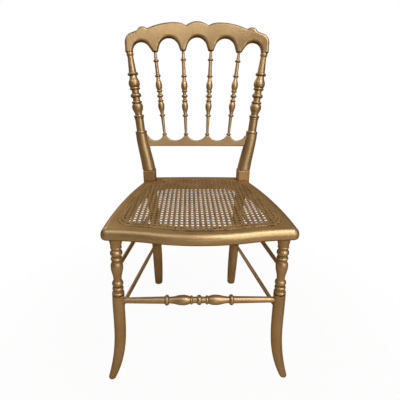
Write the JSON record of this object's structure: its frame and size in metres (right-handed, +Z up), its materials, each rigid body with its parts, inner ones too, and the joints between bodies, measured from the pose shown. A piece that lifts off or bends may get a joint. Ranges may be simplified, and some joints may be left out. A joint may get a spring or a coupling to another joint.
{
  "type": "side chair",
  "caption": "Gilded wooden side chair with a scalloped arched crest rail, turned posts and spindles, a serpentine caned seat, turned front legs with sabre feet and swept rear legs.",
  "frame": {"origin": "on the floor under the middle of the chair's bounding box", "axes": "+Z up, the chair faces -Y, +X towards the chair's right side as seen from the front"},
  "size_m": [0.4738, 0.4735, 0.885],
  "materials": {
    "gilded_wood": "satin gold paint, worn",
    "cane": "gilded woven cane, matt",
    "bare_wood": "unfinished"
  },
  "bodies": {
    "root": {"crest_rail": "gilded_wood", "back_post_left": "gilded_wood", "back_post_right": "gilded_wood", "spindle_1": "gilded_wood", "spindle_2": "gilded_wood", "spindle_3": "gilded_wood", "spindle_4": "gilded_wood", "lower_back_rail": "gilded_wood", "seat_front_rail": "gilded_wood", "seat_side_rail_left": "gilded_wood", "seat_side_rail_right": "gilded_wood", "seat_rear_rail": "gilded_wood", "front_leg_left": "gilded_wood", "front_leg_right": "gilded_wood", "front_stretcher": "gilded_wood", "side_stretcher_upper_left": "gilded_wood", "side_stretcher_upper_right": "gilded_wood", "side_stretcher_lower_left": "gilded_wood", "side_stretcher_lower_right": "gilded_wood", "rear_stretcher": "gilded_wood", "cane_panel": "cane", "cane_binder": "cane", "seat_frame_dowels": "bare_wood"}
  },
  "joints": []
}
